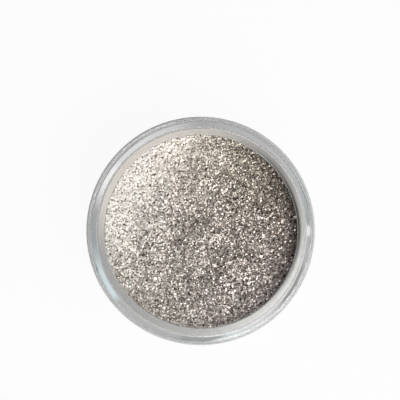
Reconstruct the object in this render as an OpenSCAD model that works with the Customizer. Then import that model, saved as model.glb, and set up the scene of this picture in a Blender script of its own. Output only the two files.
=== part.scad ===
// Screw-lid pot of loose nail glitter: a thick clear moulded pot, a bed of
// glitter in its bowl, a seal ring on its rim and a clear lid that turns on a
// single-start right-hand thread. Millimetres, +Z up, origin on the base plane.

/* [Pot] */
// Outer diameter of the pot's body
body_d = 39.2; // [38.8:0.1:44]
// Height of the shoulder that the lid closes down to
shoulder_z = 11; // [9:0.5:18]
// Thickness of the floor between the bowl and the hollow under it
floor_t = 2.4; // [1.5:0.1:3]
// Radius of the bowl's rounded bottom corner
bowl_round = 5; // [2:0.5:7]
// Radius of the body's bottom edge
base_round = 3; // [1:0.1:4]
// Radius of the body's shoulder edge
shoulder_round = 0.5; // [0.2:0.1:0.8]
// Width of the foot ring
foot_w = 1.3; // [0.8:0.1:3]

/* [Neck] */
// Bore of the mouth
mouth_d = 33.1; // [30:0.1:33.5]
// Wall of the neck
neck_wall = 1.05; // [0.8:0.05:1.15]
// Height of the neck above the shoulder
neck_h = 7.2; // [6.8:0.1:9]
// Radius of the rim's two edges
rim_round = 0.3; // [0.1:0.05:0.35]

/* [Thread] */
// Rise of the thread in one turn
thread_lead = 3; // [2.8:0.1:3.4]
// Length of each ridge, in turns
thread_turns = 1.25; // [0.8:0.05:1.25]
// Height of each ridge above its wall
thread_depth = 0.6; // [0.5:0.05:0.7]
// Width of each ridge where it leaves its wall
thread_base = 1.5; // [1.2:0.1:1.6]
// Width of each ridge at its crest
thread_crest = 0.6; // [0.3:0.1:0.8]
// Radial clearance between a crest and the wall that it faces
thread_gap = 0.15; // [0.1:0.05:0.25]
// Clearance between the two flanks that pull the lid down
thread_play = 0.12; // [0.05:0.01:0.2]

/* [Lid] */
// Wall of the lid's skirt
skirt_wall = 0.8; // [0.7:0.05:1]
// Thickness of the lid's top panel
panel_t = 1.2; // [0.8:0.1:2]
// Height of the stacking bead above the panel
bead_h = 0.5; // [0.3:0.05:0.8]
// Radius of the lid's top outer edge
lid_round = 0.5; // [0.3:0.1:1]
// Radius of the bead's inner edge
bead_round = 0.3; // [0.1:0.05:0.4]
// Radius of the skirt's lower outer edge
skirt_round = 0.2; // [0.1:0.05:0.25]
// Size of the bevel inside the skirt's lower edge, which leads the thread in
lead_in = 0.5; // [0.2:0.05:0.55]
// Gap between the lid's skirt and the pot's shoulder
skirt_gap = 0.3; // [0.2:0.05:0.6]

/* [Seal] */
// Thickness of the seal ring
seal_t = 0.8; // [0.5:0.1:1.2]
// Width of the seal ring
seal_w = 1; // [0.7:0.05:1.1]
// Radial clearance round the seal ring and round the rim, in the lid
seat_gap = 0.1; // [0.05:0.05:0.2]

/* [Glitter] */
// Depth of the glitter at the bowl's wall
fill_depth = 11.2; // [8:0.1:12]
// Rise of the glitter from the wall to the middle
fill_crown = 0.6; // [0.2:0.1:1]
// Clearance between the glitter and the bowl's wall
fill_gap = 0.05; // [0.03:0.01:0.1]

/* [Hidden] */
$fn = 96;

// Pot: heights from the base plane, and radii
body_r = body_d / 2;
mouth_r = mouth_d / 2;
neck_r = mouth_r + neck_wall;
rim_z = shoulder_z + neck_h;

// Lid: radii of its steps, outside to inside, and heights. The step between the
// thread's wall and the seat is a bevel of 45 degrees.
crest_r = neck_r + thread_depth;
skirt_r = crest_r + thread_gap;
lid_r = skirt_r + skirt_wall;
seat_r = neck_r + seat_gap;
seat_low_z = rim_z - rim_round;
skirt_z = shoulder_z + skirt_gap;
panel_z = rim_z + seal_t;
panel_top_z = panel_z + panel_t;
lid_top_z = panel_top_z + bead_h;

// Foot ring, which stands on the panel of a second pot's lid, inside its bead
stack_gap = 0.2; // radial clearance of the foot inside the bead
stack_lift = 0.1; // clearance between the bead and the body above it
foot_h = bead_h + stack_lift;
foot_r = seat_r - stack_gap;
bowl_z = foot_h + floor_t;

// Thread: sections, and the parts of a ridge that lie inside its wall
thread_steps = 48; // sections in one turn
fade_deg = 30; // turn over which a ridge rises out of its wall
thread_bite = 0.3; // depth to which a ridge runs on inside its wall
thread_sink = 0.08; // depth of the crest inside its wall at the ridge's end
thread_land = 0.2; // plain wall between a ridge and the edge that it ends at
ridge_rise = thread_lead * thread_turns;
flank_slope = (thread_base - thread_crest) / 2 / thread_depth;
root_half = thread_base / 2 + flank_slope * thread_bite;

// Heights of the two ridges' middles where they start, at angle 0. The lid's
// ridge runs under the pot's, and starts at the angle that clears the skirt.
pot_ridge_z = rim_z - rim_round - thread_land - thread_base / 2 - ridge_rise;
ridge_pitch_z = (thread_base + thread_crest) / 2 + thread_play;
lid_ridge_z = max(pot_ridge_z - ridge_pitch_z, skirt_z + lead_in + thread_land + root_half);
lid_lag = 360 * (lid_ridge_z - pot_ridge_z + ridge_pitch_z) / thread_lead;

fill_top_z = bowl_z + fill_depth + fill_crown;
fill_r = mouth_r - fill_gap;

// The scrap outside a rounded corner of radius r whose material lies towards
// -X and -Y of the origin
module corner_scrap(r) {
    difference() {
        translate([-r, -r]) square(2 * r);
        translate([-r, -r]) circle(r);
        translate([-2 * r, -3 * r]) square([r, 4 * r]);
        translate([-3 * r, -2 * r]) square([4 * r, r]);
    }
}

// Half section of a block from z0 to z1, its outer edges rounded
module round_block(r, z0, z1, low_round, high_round) {
    difference() {
        translate([0, z0]) square([r, z1 - z0]);
        translate([r, z1]) corner_scrap(high_round);
        translate([r, z0]) mirror([0, 1]) corner_scrap(low_round);
    }
}

// Half section of the bowl, its bottom corner rounded, from z0 up to z1
module bowl_section(r, z0, z1, corner) {
    difference() {
        translate([0, z0]) square([r, z1 - z0]);
        translate([r, z0]) mirror([0, 1]) corner_scrap(corner);
    }
}

// Height of a ridge above its wall after a turn of a degrees, as a share of
// its full height
function ridge_share(a) =
    let (end = 360 * thread_turns)
    sin(90 * min(1, a / fade_deg, (end - a) / fade_deg));

// Four corners of a ridge's section after a turn of a degrees. side is 1 for a
// ridge that stands out of its wall and -1 for one that stands in from it.
function ridge_section(wall_r, side, z0, a) =
    let (
        top = -thread_sink + (thread_depth + thread_sink) * ridge_share(a),
        z = z0 + thread_lead * a / 360,
        top_half = thread_base / 2 - flank_slope * top,
        r_in = wall_r - side * thread_bite,
        r_out = wall_r + side * top
    )
    [
        for (p = [[r_in, -root_half], [r_out, -top_half], [r_out, top_half], [r_in, root_half]])
            [p[0] * cos(a), p[0] * sin(a), z + p[1]]
    ];

// A helical ridge of trapezium section that fades into its wall at both ends
module thread_ridge(wall_r, side, z0) {
    count = round(thread_steps * thread_turns);
    points = [
        for (i = [0 : count], p = ridge_section(wall_r, side, z0, 360 * thread_turns * i / count)) p
    ];
    around = [
        for (i = [0 : count - 1], k = [0 : 3])
            let (a = 4 * i + k, b = 4 * i + (k + 1) % 4)
            each [[a, b, b + 4], [a, b + 4, a + 4]]
    ];
    last = 4 * count;
    caps = [[3, 2, 1], [3, 1, 0], [last, last + 1, last + 2], [last, last + 2, last + 3]];
    faces = concat(around, caps);
    polyhedron(points, side > 0 ? faces : [for (f = faces) [f[2], f[1], f[0]]]);
}

// Thick-walled pot: foot ring, rounded body, shoulder, threaded neck and bowl
module jar_body() {
    color([0.9, 0.93, 0.94, 0.35])
    union() {
        rotate_extrude()
        difference() {
            union() {
                translate([0, 0]) square([foot_r, foot_h + base_round]);
                round_block(body_r, foot_h, shoulder_z, base_round, shoulder_round);
                round_block(neck_r, bowl_z, rim_z, rim_round, rim_round);
            }
            translate([0, -1]) square([foot_r - foot_w, foot_h + 1]);
            bowl_section(mouth_r, bowl_z, rim_z + 1, bowl_round);
            translate([mouth_r, rim_z]) mirror([1, 0]) corner_scrap(rim_round);
        }
        thread_ridge(neck_r, 1, pot_ridge_z);
    }
}

// Settled bed of glitter with a low crown
module glitter_fill() {
    crown_r = (pow(fill_r, 2) + pow(fill_crown, 2)) / (2 * fill_crown);
    color([0.72, 0.67, 0.61])
    rotate_extrude()
    intersection() {
        bowl_section(fill_r, bowl_z, fill_top_z, bowl_round - fill_gap);
        translate([0, fill_top_z - crown_r]) circle(crown_r, $fn = 256);
        translate([0, bowl_z]) square([body_r, rim_z]);
    }
}

// Flat ring that the lid presses on the rim
module lid_seal() {
    color([0.92, 0.89, 0.86, 0.8])
    rotate_extrude()
    translate([neck_r - seal_w, rim_z]) square([seal_w, seal_t]);
}

// Clear lid: skirt with an inner thread, seat for the seal, panel and bead
module lid() {
    color([0.92, 0.95, 0.96, 0.3])
    union() {
        rotate_extrude()
        difference() {
            round_block(lid_r, skirt_z, lid_top_z, skirt_round, lid_round);
            translate([0, panel_top_z]) square([seat_r, bead_h + 1]);
            translate([seat_r, lid_top_z]) mirror([1, 0]) corner_scrap(bead_round);
            polygon([
                [0, skirt_z - 1],
                [skirt_r + lead_in + 1, skirt_z - 1],
                [skirt_r, skirt_z + lead_in],
                [skirt_r, seat_low_z - (skirt_r - seat_r)],
                [seat_r, seat_low_z],
                [seat_r, panel_z],
                [0, panel_z]
            ]);
        }
        rotate([0, 0, lid_lag]) thread_ridge(skirt_r, -1, lid_ridge_z);
    }
}

jar_body();
glitter_fill();
lid_seal();
lid();
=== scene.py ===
"""A closed clear pot of loose champagne glitter, dressed for rendering.

The clear pot, its lid and the seal ring keep the shapes of the frame and get their finishes here. The
glitter is built here: a settled bed, and loose flakes that lie on it. Metres, +X right, +Y back, +Z up.
"""
import math

import bpy
import numpy as np
from mathutils import Matrix, Vector


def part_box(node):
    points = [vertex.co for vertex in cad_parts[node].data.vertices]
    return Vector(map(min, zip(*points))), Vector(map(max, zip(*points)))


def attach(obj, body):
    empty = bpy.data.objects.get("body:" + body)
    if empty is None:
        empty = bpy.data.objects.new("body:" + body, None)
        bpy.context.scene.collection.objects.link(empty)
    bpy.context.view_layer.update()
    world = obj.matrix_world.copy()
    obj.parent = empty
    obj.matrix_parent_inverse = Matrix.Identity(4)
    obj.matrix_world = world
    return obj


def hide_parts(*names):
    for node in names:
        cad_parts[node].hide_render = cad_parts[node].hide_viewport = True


MM = 0.001

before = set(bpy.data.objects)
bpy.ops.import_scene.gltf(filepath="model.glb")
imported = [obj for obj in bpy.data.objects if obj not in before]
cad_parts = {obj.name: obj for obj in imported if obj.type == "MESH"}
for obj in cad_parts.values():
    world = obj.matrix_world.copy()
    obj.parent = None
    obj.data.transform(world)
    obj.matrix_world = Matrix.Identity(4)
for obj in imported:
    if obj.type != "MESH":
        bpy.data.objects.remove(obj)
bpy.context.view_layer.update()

# Sizes that the frame gives
FILL_LOW, FILL_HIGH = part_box("glitter_fill")
FILL_RADIUS = FILL_HIGH.x
RIM_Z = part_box("jar_body")[1].z

# Glitter bed
BED_CORNER = 5 * MM  # radius of its rounded bottom corner
BED_LIFT = 0.05 * MM  # gap that keeps it off the pot's floor
BED_EDGE_DROP = 0.6 * MM  # fall of its crown from the middle to the wall
BED_SINK = 0.1 * MM  # how far its crown lies under the solid's, which leaves room for the flakes
BED_WALL_DROP = 0.4 * MM  # how far its side stops under the crown's edge
BED_SIDES = 256  # points in each ring of its mesh
BED_LOW_MIDDLE = 0.5 * MM  # radius of the mesh's innermost ring underneath
BED_TOP_MIDDLE = 0.2 * MM  # radius of the mesh's innermost ring on top

# Lumps of the bed's top, in two sizes: height, number of waves, and length
LUMPS = [(0.06 * MM, 14, 7 * MM), (0.012 * MM, 20, 2 * MM)]
LUMP_SEED = 11

# Flakes: their count, their radius round the corners, its spread as a share and its limits, and their height
# over the bed, with lengths in millimetres
FLAKE_COUNT = 36000
FLAKE_RADIUS = 0.120
FLAKE_SPREAD = 0.28
FLAKE_LIMITS = (0.07, 0.28)
FLAKE_LIFT = (0.02, 0.28)
FLAKE_SEED = 16

# Each flake tilts at random: the spread of its tilt, the factor on it where the flakes don't lean, and how
# much that factor falls for each unit of their lean
FLAKE_TILT = math.radians(9)
TILT_LEVEL = 1.2
TILT_FALL = 2.0

# Together the flakes lie like shingles that lean towards the lamp, by a slope that changes over the bed
KEY_AZIMUTH = -45
KEY_SIDE = math.radians(KEY_AZIMUTH)
LAY_RIGHT = -0.206  # change in one bed radius to the right
LAY_BACK = 0.127  # change in one bed radius to the back
LAY_BOTH = -0.175  # change with both together
LAY_OUT = 0.105  # change from the middle to the wall
LAY_WALL = -0.2  # change close to the wall, at the right

# Flakes that lean further than a slope are painted paler, as painted light where they face the lamp: that
# slope, and the tone that they gain for each unit of slope past it
PAINTED_LIGHT_LEAN = 0.15
PAINTED_LIGHT_GAIN = 1.3

# Drift of the flakes' red and blue in one bed radius to the right or to the back, and with both together
DRIFT_RED_RIGHT = 0.044
DRIFT_BLUE_RIGHT = -0.014
DRIFT_BLUE_BACK = -0.043
DRIFT_BLUE_BOTH = -0.086

# Crescents of shade on the glitter's edge and on the seal's inner edge: the side that each lies on, its
# depth, how steeply the glitter's fades inwards, and the radii between which the seal's fades outwards
FLAKE_SHADE_SIDE = math.radians(-14)
FLAKE_SHADE = 0.85
FLAKE_SHADE_FADE = 14
SEAL_SHADE_SIDE = math.radians(9)
SEAL_SHADE = 0.95
SEAL_SHADE_FADE = (16.65 * MM, 17.25 * MM)
SHADE_BROWN = (0.02, 0.014, 0.01, 1)

# Tones of the metals, from dull to bright, and the painted light that the bed's tone gains for each unit of
# slope
FLAKE_TONES = [
    (0.0, (0.12, 0.098, 0.082, 1)),
    (0.3, (0.67, 0.583, 0.513, 1)),
    (1.0, (0.885, 0.823, 0.765, 1)),
]
BED_TONES = [
    (0.0, (0.04, 0.03, 0.024, 1)),
    (0.6, (0.20, 0.157, 0.13, 1)),
    (1.0, (0.60, 0.50, 0.43, 1)),
]
BED_PAINTED_LIGHT = 1.2

# Roughness of the flakes, what the palest ones lose of it, and what it gains for each unit of slope.
# Roughness of the bed, and what it loses where the bed is pressed against the pot.
FLAKE_ROUGHNESS = 0.49
FLAKE_TONE_GLOSS = 0.09
FLAKE_LAY_ROUGHNESS = 0.30
BED_ROUGHNESS = 0.4
BED_PRESSED_GLOSS = 0.2

# Painted light and shade round the seal, brighter and darker by how it is lit round the ring: clock angle
# from +Y in degrees, brightness, and tint
ROSE = (0.975, 0.943, 0.895)
CREAM = (0.97, 0.963, 0.95)
SEAL_PAINTED_LIGHT = [
    (0, 0.70, ROSE), (20, 0.58, ROSE), (45, 0.42, ROSE), (60, 0.46, ROSE),
    (80, 0.56, ROSE), (92, 0.62, ROSE), (105, 0.75, CREAM), (125, 0.78, CREAM),
    (155, 0.70, CREAM), (185, 0.55, CREAM), (215, 0.49, CREAM), (255, 0.50, CREAM),
    (285, 0.75, ROSE), (305, 0.75, ROSE), (345, 0.74, ROSE), (360, 0.68, ROSE),
]

# What stands round the studio at table height, in the same form
PLAIN = (1.0, 1.0, 1.0)
SKY = (0.86, 1.0, 1.03)
MIST = (0.95, 1.0, 1.01)
HORIZON = [
    (0, 0.44, PLAIN), (22, 0.52, PLAIN), (50, 0.56, PLAIN), (62, 0.54, PLAIN),
    (76, 0.50, MIST), (87, 0.42, MIST), (88, 0.90, PLAIN), (93, 0.90, PLAIN),
    (94, 0.50, PLAIN), (106, 0.52, PLAIN), (112, 0.36, PLAIN), (129, 0.35, PLAIN),
    (134, 0.60, PLAIN), (142, 0.72, PLAIN), (164, 0.80, MIST), (171, 0.40, MIST),
    (188, 0.40, MIST), (192, 0.50, PLAIN), (228, 0.50, PLAIN), (233, 0.84, SKY),
    (249, 0.78, SKY), (253, 0.62, SKY), (262, 0.40, SKY), (280, 0.42, PLAIN),
    (288, 0.70, PLAIN), (296, 0.98, PLAIN), (305, 0.98, PLAIN), (311, 0.80, PLAIN),
    (326, 0.80, PLAIN), (345, 0.66, PLAIN), (360, 0.44, PLAIN),
]

# The darker ceiling, by height, and the heights between which it takes over from the horizon
CEILING = [(0.0, 0.16), (0.70, 0.06), (1.0, 0.04)]
CEILING_START = 0.30
CEILING_FULL = 0.50

# Rays with more bounces than this pass clear plastic straight
LAST_BENT_BOUNCE = 4.5

# Table: half its side, how far its matte gives way to its glow for the camera and for mirrored rays, and how
# much less of the glow rays get that come through clear plastic
TABLE_HALF = 0.22
TABLE_GLOW = 0.94
TABLE_GLOW_LOSS = 0.8


# ---------------------------------------------------------------- shader maths


class Wire:
    """A shader socket that Python's arithmetic adds Math nodes to."""

    def __init__(self, tree, socket):
        self.tree = tree
        self.socket = socket

    def _math(self, operation, *values):
        return self.tree.node("ShaderNodeMath", {"operation": operation}, dict(enumerate(values)))[0]

    def __add__(self, other):
        return self._math("ADD", self, other)

    __radd__ = __add__

    def __sub__(self, other):
        return self._math("SUBTRACT", self, other)

    def __rsub__(self, other):
        return self._math("SUBTRACT", other, self)

    def __mul__(self, other):
        return self._math("MULTIPLY", self, other)

    __rmul__ = __mul__

    def __truediv__(self, other):
        return self._math("DIVIDE", self, other)

    def __pow__(self, other):
        return self._math("POWER", self, other)


class Outputs:
    """A node's outputs, each as a wire."""

    def __init__(self, tree, made):
        self.tree = tree
        self.made = made

    def __getitem__(self, key):
        return Wire(self.tree, self.made.outputs[key])


class Tree:
    """The node tree of one material or world."""

    def __init__(self, owner):
        owner.use_nodes = True
        self.nodes = owner.node_tree.nodes
        self.links = owner.node_tree.links
        self.nodes.clear()

    def node(self, kind, settings=None, values=None):
        """Adds a node, sets it up, feeds its inputs, and returns its outputs by name or number."""
        made = self.nodes.new(kind)
        for key, value in (settings or {}).items():
            if key == "stops":
                self._set_stops(made.color_ramp, value)
            else:
                setattr(made, key, value)
        for key, value in (values or {}).items():
            if isinstance(value, Wire):
                self.links.new(value.socket, made.inputs[key])
            else:
                made.inputs[key].default_value = value
        return Outputs(self, made)

    def _set_stops(self, ramp, stops):
        while len(ramp.elements) < len(stops):
            ramp.elements.new(1.0)
        for element, (position, colour) in zip(ramp.elements, stops):
            element.position = position
            element.color = colour

    def output(self, kind, surface):
        """Ends the tree with the shader that the surface, or the world, shows."""
        made = self.nodes.new(kind)
        self.links.new(surface.socket, made.inputs["Surface"])


def grey(value):
    return (value, value, value, 1)


def mixed(tree, share, first, second, blend="MIX"):
    """Two colours mixed by a share. The Mix node numbers its colours 6 and 7, and their mix 2."""
    settings = {"data_type": "RGBA", "blend_type": blend}
    return tree.node("ShaderNodeMix", settings, {"Factor": share, 6: first, 7: second})[2]


def shader_mix(tree, share, first, second):
    """Two shaders mixed by a share."""
    return tree.node("ShaderNodeMixShader", values={0: share, 1: first, 2: second})["Shader"]


def larger(tree, first, second):
    """The larger of two numbers."""
    return tree.node("ShaderNodeMath", {"operation": "MAXIMUM"}, {0: first, 1: second})[0]


def vector_sum(tree, first, second):
    return tree.node("ShaderNodeVectorMath", {"operation": "ADD"}, {0: first, 1: second})["Vector"]


def bumped(tree, height, strength, distance):
    """The normal of a surface that a height from 0 to 1 raises by up to a distance."""
    values = {"Height": height, "Strength": strength, "Distance": distance}
    return tree.node("ShaderNodeBump", values=values)["Normal"]


def clock_ramp(tree, place, tones):
    """A colour that changes with the clock angle from +Y, given as (degrees, brightness, tint) stops."""
    parts = tree.node("ShaderNodeSeparateXYZ", values={"Vector": place})
    turn = tree.node("ShaderNodeMath", {"operation": "ARCTAN2"}, {0: parts["X"], 1: parts["Y"]})[0]
    clock = tree.node("ShaderNodeMath", {"operation": "FRACT"}, {0: turn / (2 * math.pi) + 1})[0]
    stops = [(angle / 360, (*(value * share for share in tint), 1)) for angle, value, tint in tones]
    return tree.node("ShaderNodeValToRGB", {"stops": stops}, {"Fac": clock})["Color"]


# ------------------------------------------------- changes over the pot's width


def bed_place(x, y):
    """A place over the bed, in bed radii to the right and to the back, and its squared distance."""
    right, back = x / FILL_RADIUS, y / FILL_RADIUS
    return right, back, right * right + back * back


def lay_slope(x, y):
    """Slope of the flakes' lean towards KEY_SIDE at a place, for arrays and for shader sockets alike."""
    right, back, out = bed_place(x, y)
    field = right * LAY_RIGHT + back * LAY_BACK + right * back * LAY_BOTH + out * LAY_OUT
    return field + out**5 * right * (right + 1) * LAY_WALL


def shade_share(right, back, towards):
    """How far a way from the middle points to the shaded side: 1 towards it, about 0 across and away."""
    side = right * math.cos(towards) + back * math.sin(towards)
    return side**3 * (side + 1) / 2


def bed_shade(x, y):
    """Share of the light that the wall keeps off the glitter at a place."""
    right, back, out = bed_place(x, y)
    return out**FLAKE_SHADE_FADE * shade_share(right, back, FLAKE_SHADE_SIDE) * FLAKE_SHADE


def seal_shade(tree, x, y):
    """Share of the light that the wall keeps off the seal at a place."""
    radius = (x * x + y * y) ** 0.5
    start, end = SEAL_SHADE_FADE
    inner = tree.node(
        "ShaderNodeMapRange",
        {"interpolation_type": "SMOOTHSTEP"},
        {"Value": radius, "From Min": start, "From Max": end, "To Min": 1.0, "To Max": 0.0},
    )[0]
    return inner * shade_share(x / radius, y / radius, SEAL_SHADE_SIDE) * SEAL_SHADE


def drifted(tree, colour, x, y):
    """A colour that drifts over the bed: redder to the right, and less blue at the back right."""
    right, back, _ = bed_place(x, y)
    red = 1 + right * DRIFT_RED_RIGHT
    blue = 1 + right * DRIFT_BLUE_RIGHT + back * DRIFT_BLUE_BACK + right * back * DRIFT_BLUE_BOTH
    tint = tree.node("ShaderNodeCombineColor", values={"Red": red, "Green": 1.0, "Blue": blue})["Color"]
    return mixed(tree, 1.0, colour, tint, "MULTIPLY")


# ------------------------------------------------------------------- materials


def clear_plastic(name, tint, passing):
    """Clear moulded plastic. Light for shadows, and rays near the end of their bounces, pass it straight."""
    material = bpy.data.materials.new(name)
    tree = Tree(material)
    place = tree.node("ShaderNodeTexCoord")["Object"]
    ripple = tree.node("ShaderNodeTexNoise", values={"Vector": place, "Scale": 160.0, "Detail": 1.0})["Fac"]
    plastic = tree.node(
        "ShaderNodeBsdfPrincipled",
        values={
            "Base Color": tint,
            "Roughness": 0.01,
            "IOR": 1.55,
            "Transmission Weight": 1.0,
            "Normal": bumped(tree, ripple, strength=0.04, distance=0.1 * MM),
        },
    )["BSDF"]
    open_way = tree.node("ShaderNodeBsdfTransparent", values={"Color": passing})["BSDF"]
    path = tree.node("ShaderNodeLightPath")
    late = tree.node(
        "ShaderNodeMath", {"operation": "GREATER_THAN"}, {0: path["Ray Depth"], 1: LAST_BENT_BOUNCE}
    )[0]
    surface = shader_mix(tree, larger(tree, path["Is Shadow Ray"], late), plastic, open_way)
    tree.output("ShaderNodeOutputMaterial", surface)
    return material


def seal_foam():
    """Pale, slightly see-through seal with a fine matte grain, and painted light and shade round the ring."""
    material = bpy.data.materials.new("seal_foam")
    tree = Tree(material)
    place = tree.node("ShaderNodeTexCoord")["Object"]
    grain = tree.node("ShaderNodeTexNoise", values={"Vector": place, "Scale": 2500.0, "Detail": 2.0})["Fac"]
    parts = tree.node("ShaderNodeSeparateXYZ", values={"Vector": place})
    # painted light and shade: the seal's colour changes round the ring with how it is lit
    tone = clock_ramp(tree, place, SEAL_PAINTED_LIGHT)
    foam = tree.node(
        "ShaderNodeBsdfPrincipled",
        values={
            "Base Color": mixed(tree, seal_shade(tree, parts["X"], parts["Y"]), tone, SHADE_BROWN),
            "Roughness": 0.6,
            "Subsurface Weight": 0.3,
            "Subsurface Radius": (0.5 * MM, 0.5 * MM, 0.4 * MM),
            "Subsurface Scale": 1.0,
            "Normal": bumped(tree, grain, strength=0.2, distance=0.05 * MM),
        },
    )["BSDF"]
    open_way = tree.node("ShaderNodeBsdfTransparent", values={"Color": (0.9, 0.87, 0.84, 1)})["BSDF"]
    shadow = tree.node("ShaderNodeLightPath")["Is Shadow Ray"]
    tree.output("ShaderNodeOutputMaterial", shader_mix(tree, shadow, foam, open_way))
    return material


def flake_metal():
    """Loose metal-coated flakes: champagne, each a little different, the paler ones glossier."""
    material = bpy.data.materials.new("flake_metal")
    tree = Tree(material)
    tone = tree.node("ShaderNodeAttribute", {"attribute_name": "tone"})["Fac"]
    place = tree.node("ShaderNodeSeparateXYZ", values={"Vector": tree.node("ShaderNodeTexCoord")["Object"]})
    x, y = place["X"], place["Y"]
    lay = lay_slope(x, y)
    # painted light: flakes that lean towards the lamp get a paler tone
    painted_light = larger(tree, lay - PAINTED_LIGHT_LEAN, 0.0)
    champagne = tree.node(
        "ShaderNodeValToRGB", {"stops": FLAKE_TONES}, {"Fac": tone + painted_light * PAINTED_LIGHT_GAIN}
    )["Color"]
    metal = tree.node(
        "ShaderNodeBsdfPrincipled",
        values={
            "Base Color": mixed(tree, bed_shade(x, y), drifted(tree, champagne, x, y), SHADE_BROWN),
            "Metallic": 1.0,
            "Roughness": FLAKE_ROUGHNESS - FLAKE_TONE_GLOSS * tone + lay * FLAKE_LAY_ROUGHNESS,
        },
    )["BSDF"]
    tree.output("ShaderNodeOutputMaterial", metal)
    return material


def packed_normal(tree, up, slope, cell):
    """The bed's normal, leaning with the loose flakes, and tilted in each cell by the cell's own colour."""
    lay = tree.node(
        "ShaderNodeCombineXYZ", values={"X": slope * math.cos(KEY_SIDE), "Y": slope * math.sin(KEY_SIDE)}
    )["Vector"]
    spread = tree.node(
        "ShaderNodeVectorMath", {"operation": "SUBTRACT"}, {0: cell, 1: (0.5, 0.5, 0.5)}
    )["Vector"]
    tilt = tree.node("ShaderNodeVectorMath", {"operation": "SCALE"}, {0: spread, "Scale": 0.7})["Vector"]
    leaning = vector_sum(tree, vector_sum(tree, up, lay), tilt)
    return tree.node("ShaderNodeVectorMath", {"operation": "NORMALIZE"}, {0: leaning})["Vector"]


def bed_metal():
    """Packed flakes, one to a cell: glossier where pressed against the pot, and painted paler there as
    painted light.
    """
    material = bpy.data.materials.new("bed_metal")
    tree = Tree(material)
    place = tree.node("ShaderNodeTexCoord")["Object"]
    cell = tree.node("ShaderNodeTexVoronoi", {"feature": "F1"}, {"Vector": place, "Scale": 3600.0})["Color"]
    parts = tree.node("ShaderNodeSeparateXYZ", values={"Vector": place})
    x, y = parts["X"], parts["Y"]
    slope = lay_slope(x, y)
    up = tree.node("ShaderNodeNewGeometry")["Normal"]
    # 0 on top, a half at the side and 1 underneath
    # painted light: the sides and the underside get a paler tone that lifts their shade; they also get
    # glossier
    underside_painted_light_and_gloss = (1 - tree.node("ShaderNodeSeparateXYZ", values={"Vector": up})["Z"]) * 0.5
    own_tone = tree.node("ShaderNodeSeparateColor", values={"Color": cell})["Red"]
    # painted light: the bed's tone also rises with its lean towards the lamp
    tone = own_tone + underside_painted_light_and_gloss + slope * BED_PAINTED_LIGHT
    champagne = tree.node("ShaderNodeValToRGB", {"stops": BED_TONES}, {"Fac": tone})["Color"]
    metal = tree.node(
        "ShaderNodeBsdfPrincipled",
        values={
            "Base Color": mixed(tree, bed_shade(x, y), champagne, SHADE_BROWN),
            "Metallic": 1.0,
            "Roughness": BED_ROUGHNESS - underside_painted_light_and_gloss * BED_PRESSED_GLOSS,
            "Normal": packed_normal(tree, up, slope, cell),
        },
    )["BSDF"]
    tree.output("ShaderNodeOutputMaterial", metal)
    return material


def table_white():
    """Matte white that glows plain white for the camera and in mirror images, and keeps its shadows
    where it is seen through clear plastic."""
    material = bpy.data.materials.new("table_white")
    tree = Tree(material)
    matte = tree.node("ShaderNodeBsdfDiffuse", values={"Color": grey(0.9)})["BSDF"]
    glow = tree.node("ShaderNodeEmission", values={"Color": grey(1.0), "Strength": 1.0})["Emission"]
    path = tree.node("ShaderNodeLightPath")
    mirrored = path["Is Glossy Ray"] * (1 - path["Is Transmission Ray"] * TABLE_GLOW_LOSS)
    seen = larger(tree, path["Is Camera Ray"], mirrored)
    tree.output("ShaderNodeOutputMaterial", shader_mix(tree, seen * TABLE_GLOW, matte, glow))
    return material


# --------------------------------------------------------------------- glitter


def waves(x, y, seed, count, length):
    """A smooth random height field made of plane waves of about the given length."""
    rng = np.random.default_rng(seed)
    total = np.zeros_like(x)
    for _ in range(count):
        angle = rng.uniform(0, 2 * math.pi)
        size = length * rng.uniform(0.6, 1.6)
        phase = rng.uniform(0, 2 * math.pi)
        total += np.sin(2 * math.pi * (x * math.cos(angle) + y * math.sin(angle)) / size + phase)
    return total / math.sqrt(count / 2)


def bed_height(x, y):
    """Height of the settled glitter over the pot's base plane."""
    radius = np.hypot(x, y)
    crown = FILL_HIGH.z - BED_EDGE_DROP * (radius / FILL_RADIUS) ** 2
    lumps = 0
    for i, (height, count, length) in enumerate(LUMPS):
        lumps = lumps + height * waves(x, y, LUMP_SEED + i, count, length)
    return crown + lumps - BED_SINK


def mesh_object(name, points, faces, material, smooth):
    mesh = bpy.data.meshes.new(name)
    mesh.from_pydata(points, [], faces)
    mesh.materials.append(material)
    if smooth:
        mesh.shade_smooth()
    made = bpy.data.objects.new(name, mesh)
    bpy.context.scene.collection.objects.link(made)
    return made


def bed_side_profile(low_z):
    """Radius and height of the rings below the bed's top: its bottom, its rounded corner and its side."""
    corner_r, corner_z = FILL_RADIUS - BED_CORNER, low_z + BED_CORNER
    side_z = FILL_HIGH.z - BED_EDGE_DROP - BED_WALL_DROP
    profile = [(r, low_z) for r in np.linspace(BED_LOW_MIDDLE, corner_r, num=8)]
    for turn in np.linspace(0, math.pi / 2, num=10)[1:]:
        profile.append((corner_r + BED_CORNER * math.sin(turn), corner_z - BED_CORNER * math.cos(turn)))
    profile += [(FILL_RADIUS, z) for z in np.linspace(corner_z, side_z, num=12)[1:]]
    return profile


def ring(radius, height):
    """Points of one ring round the pot's axis. The height is one number, or a function of x and y."""
    angles = np.arange(BED_SIDES) * 2 * math.pi / BED_SIDES
    x, y = radius * np.cos(angles), radius * np.sin(angles)
    z = height(x, y) if callable(height) else np.full(BED_SIDES, height)
    return np.stack([x, y, z], 1)


def ring_faces(count):
    """Faces of a skin through rings of points. The two points after them close its bottom and its top."""
    turns = [(k, (k + 1) % BED_SIDES) for k in range(BED_SIDES)]
    top = (count - 1) * BED_SIDES
    low_middle = count * BED_SIDES
    faces = []
    for low in range(0, top, BED_SIDES):
        high = low + BED_SIDES
        faces += [(low + k, low + n, high + n, high + k) for k, n in turns]
    faces += [(low_middle, n, k) for k, n in turns]
    faces += [(low_middle + 1, top + k, top + n) for k, n in turns]
    return faces


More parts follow.
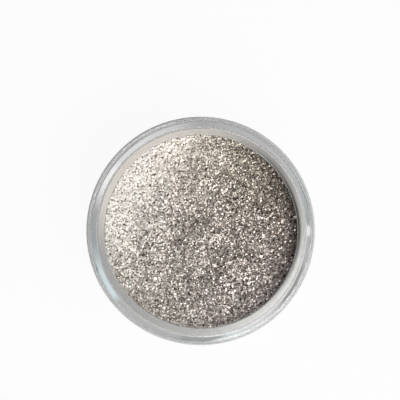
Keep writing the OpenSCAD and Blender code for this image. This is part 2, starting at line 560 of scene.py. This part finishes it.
def glitter_bed():
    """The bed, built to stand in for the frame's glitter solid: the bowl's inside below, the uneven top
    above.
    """
    low_z = FILL_LOW.z + BED_LIFT
    top_z = bed_height(np.zeros(1), np.zeros(1))[0]
    rings = [ring(r, z) for r, z in bed_side_profile(low_z)]
    rings += [ring(r, bed_height) for r in np.linspace(FILL_RADIUS, BED_TOP_MIDDLE, num=90)]
    points = np.concatenate(rings + [[[0, 0, low_z], [0, 0, top_z]]])
    made = mesh_object("glitter_bed", points.tolist(), ring_faces(len(rings)), bed_metal(), smooth=True)
    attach(made, "pot")
    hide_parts("glitter_fill")


def bed_slopes(x, y):
    """Slopes of the bed's top to the right and to the back."""
    step = 0.05 * MM
    to_right = (bed_height(x + step, y) - bed_height(x - step, y)) / (2 * step)
    to_back = (bed_height(x, y + step) - bed_height(x, y - step)) / (2 * step)
    return np.stack([to_right, to_back], 1)


def unit(rows):
    """Vectors brought to length 1."""
    return rows / np.linalg.norm(rows, axis=1)[:, None]


def flake_axes(rng, x, y):
    """Two axes in each flake's plane, which follows the bed, leans with the others and tilts its own way."""
    lay = lay_slope(x, y)[:, None]
    lean = rng.normal(0, math.tan(FLAKE_TILT), (FLAKE_COUNT, 2)) * (TILT_LEVEL - TILT_FALL * lay)
    lean += lay * np.array([math.cos(KEY_SIDE), math.sin(KEY_SIDE)])
    normal = unit(np.column_stack([lean - bed_slopes(x, y), np.ones(FLAKE_COUNT)]))
    spin = rng.uniform(0, 2 * math.pi, FLAKE_COUNT)
    level = np.stack([np.cos(spin), np.sin(spin), np.zeros(FLAKE_COUNT)], 1)
    along = unit(level - normal * (level * normal).sum(1)[:, None])
    return along, np.cross(normal, along)


def glitter_flakes():
    """Loose hexagonal flakes scattered over the bed, each with its own tone."""
    rng = np.random.default_rng(FLAKE_SEED)
    size = np.clip(rng.lognormal(math.log(FLAKE_RADIUS), FLAKE_SPREAD, FLAKE_COUNT), *FLAKE_LIMITS) * MM
    radius = np.minimum(FILL_RADIUS * np.sqrt(rng.uniform(0, 1, FLAKE_COUNT)), FILL_RADIUS - size)
    angle = rng.uniform(0, 2 * math.pi, FLAKE_COUNT)
    x, y = radius * np.cos(angle), radius * np.sin(angle)
    along, across = flake_axes(rng, x, y)
    lift = rng.uniform(*FLAKE_LIFT, FLAKE_COUNT) * MM
    centre = np.stack([x, y, bed_height(x, y) + lift], 1)
    corners = (np.arange(6) * math.pi / 3)[None, :, None]
    reach = size[:, None, None]
    points = (
        centre[:, None]
        + reach * (np.cos(corners) * along[:, None])
        + reach * (np.sin(corners) * across[:, None])
    ).reshape(-1, 3)
    faces = np.arange(FLAKE_COUNT * 6).reshape(-1, 6).tolist()
    made = mesh_object("glitter_flakes", points.tolist(), faces, flake_metal(), smooth=False)
    tone = made.data.attributes.new("tone", "FLOAT", "FACE")
    tone.data.foreach_set("value", rng.uniform(0, 1, FLAKE_COUNT).astype(np.float32))
    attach(made, "pot")


# ------------------------------------------------------------ stage and lights


def table():
    half = TABLE_HALF
    corners = [(-half, -half, 0), (half, -half, 0), (half, half, 0), (-half, half, 0)]
    mesh_object("table", corners, [(0, 1, 2, 3)], table_white(), smooth=False)


def surroundings():
    """A studio with pale and dark things low down and a dark ceiling."""
    world = bpy.data.worlds.new("studio")
    bpy.context.scene.world = world
    tree = Tree(world)
    direction = tree.node("ShaderNodeTexCoord")["Generated"]
    height = tree.node("ShaderNodeSeparateXYZ", values={"Vector": direction})["Z"]
    low = clock_ramp(tree, direction, HORIZON)
    stops = [(position, grey(value)) for position, value in CEILING]
    high = tree.node("ShaderNodeValToRGB", {"stops": stops}, {"Fac": height})["Color"]
    share = tree.node(
        "ShaderNodeMapRange",
        {"interpolation_type": "SMOOTHSTEP"},
        {"Value": height, "From Min": CEILING_START, "From Max": CEILING_FULL},
    )[0]
    colour = mixed(tree, share, low, high)
    glow = tree.node("ShaderNodeBackground", values={"Color": colour, "Strength": 1.0})["Background"]
    tree.output("ShaderNodeOutputWorld", glow)


def camera():
    """Straight above, a degree off towards the back left."""
    distance = 1.5
    view_width = 68.62 * MM
    lean = math.sin(math.radians(1.0)) * 0.7  # to the left and to the back alike
    aim = Vector((-0.1 * MM, 5.3 * MM, 10.5 * MM))
    away = Vector((-lean, lean, 1)).normalized()
    data = bpy.data.cameras.new("camera")
    data.sensor_width = 36
    data.lens = data.sensor_width * distance / view_width
    data.clip_end = 10
    made = bpy.data.objects.new("camera", data)
    right = Vector((0, 1, 0)).cross(away).normalized()
    turn = Matrix((right, away.cross(right), away)).transposed().to_4x4()
    made.matrix_world = Matrix.Translation(aim + away * distance) @ turn
    bpy.context.scene.collection.objects.link(made)
    bpy.context.scene.camera = made


def soft_box(name, azimuth, elevation, distance, width, height, power):
    """A lamp that faces the pot's rim. Azimuth runs anticlockwise from +X."""
    a, e = math.radians(azimuth), math.radians(elevation)
    away = Vector((math.cos(a) * math.cos(e), math.sin(a) * math.cos(e), math.sin(e)))
    light = bpy.data.lights.new(name, "AREA")
    light.shape = "RECTANGLE"
    light.size = width
    light.size_y = height
    light.energy = power
    made = bpy.data.objects.new(name, light)
    made.location = Vector((0, 0, RIM_Z)) + away * distance
    made.rotation_mode = "QUATERNION"
    made.rotation_quaternion = away.to_track_quat("Z", "Y")
    made.visible_camera = False
    bpy.context.scene.collection.objects.link(made)


# ----------------------------------------------------------------------- build


def finish_node(name, material):
    """Gives a solid of the frame its finish."""
    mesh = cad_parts[name].data
    mesh.materials.clear()
    mesh.materials.append(material)


finish_node("jar_body", clear_plastic("clear_body", (0.645, 0.655, 0.66, 1), grey(0.93)))
finish_node("lid", clear_plastic("clear_lid", (0.962, 0.97, 0.968, 1), grey(0.97)))
finish_node("lid_seal", seal_foam())
glitter_bed()
glitter_flakes()
table()
surroundings()
camera()
soft_box("key", KEY_AZIMUTH, elevation=47, distance=0.30, width=0.34, height=0.25, power=0.965)

bpy.context.scene.view_settings.view_transform = "Standard"
